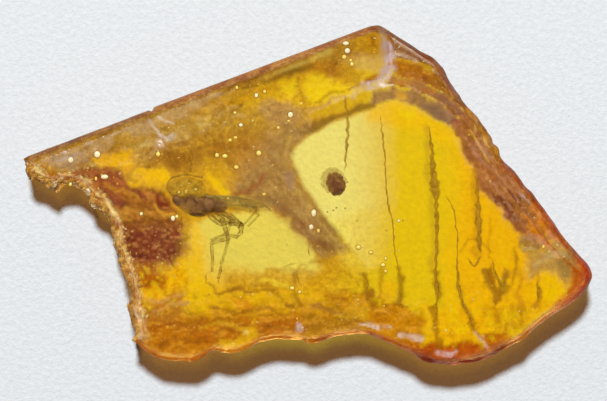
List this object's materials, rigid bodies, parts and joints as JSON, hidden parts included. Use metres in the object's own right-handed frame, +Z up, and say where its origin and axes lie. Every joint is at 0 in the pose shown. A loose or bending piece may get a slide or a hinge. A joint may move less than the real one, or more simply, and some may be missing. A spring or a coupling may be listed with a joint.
{
  "type": "insect in amber",
  "caption": "Thin polished chip of clear amber lying flat, with a long-legged gnat and a dark crumb of plant debris sealed inside.",
  "frame": {"origin": "under the middle of the chip's box, on the flat face that it lies on", "axes": "+X along the chip's longest side, +Y across it towards its straight sawn edge, +Z up through its thickness"},
  "size_m": [0.022, 0.0132, 0.0024],
  "materials": {
    "amber": "polished clear amber, broken at three edges",
    "dark_cuticle": "dark brown cuticle with greyish olive wings",
    "plant_debris": "dark red-brown rotted plant matter"
  },
  "bodies": {
    "root": {"amber_lower": "amber", "amber_upper": "amber", "insect": "dark_cuticle", "debris_crumb": "plant_debris"}
  },
  "joints": []
}
